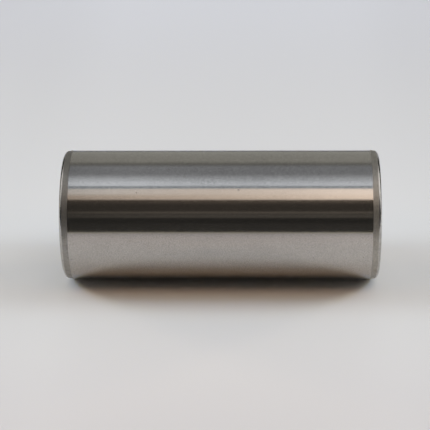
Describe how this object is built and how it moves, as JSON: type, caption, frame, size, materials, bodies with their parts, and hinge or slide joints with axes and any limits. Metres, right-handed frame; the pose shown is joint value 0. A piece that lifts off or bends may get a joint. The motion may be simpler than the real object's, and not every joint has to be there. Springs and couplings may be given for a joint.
{
  "type": "crank pin",
  "caption": "Solid ground steel crank pin: a straight cylinder with a short tapered lead and rounded corner at each end. It joins two crank webs and carries the big-end bearing.",
  "frame": {"origin": "centre of the lower end face, on the surface that the pin stands on", "axes": "+Z along the pin's axis, from the lower end face to the upper one; X and Y are equal, because the pin is the same all round"},
  "size_m": [0.022, 0.022, 0.0533],
  "materials": {
    "ground_steel": "ground and lapped round the axis, duller on the tapered leads"
  },
  "bodies": {
    "root": {"crank_pin": "ground_steel"}
  },
  "joints": []
}
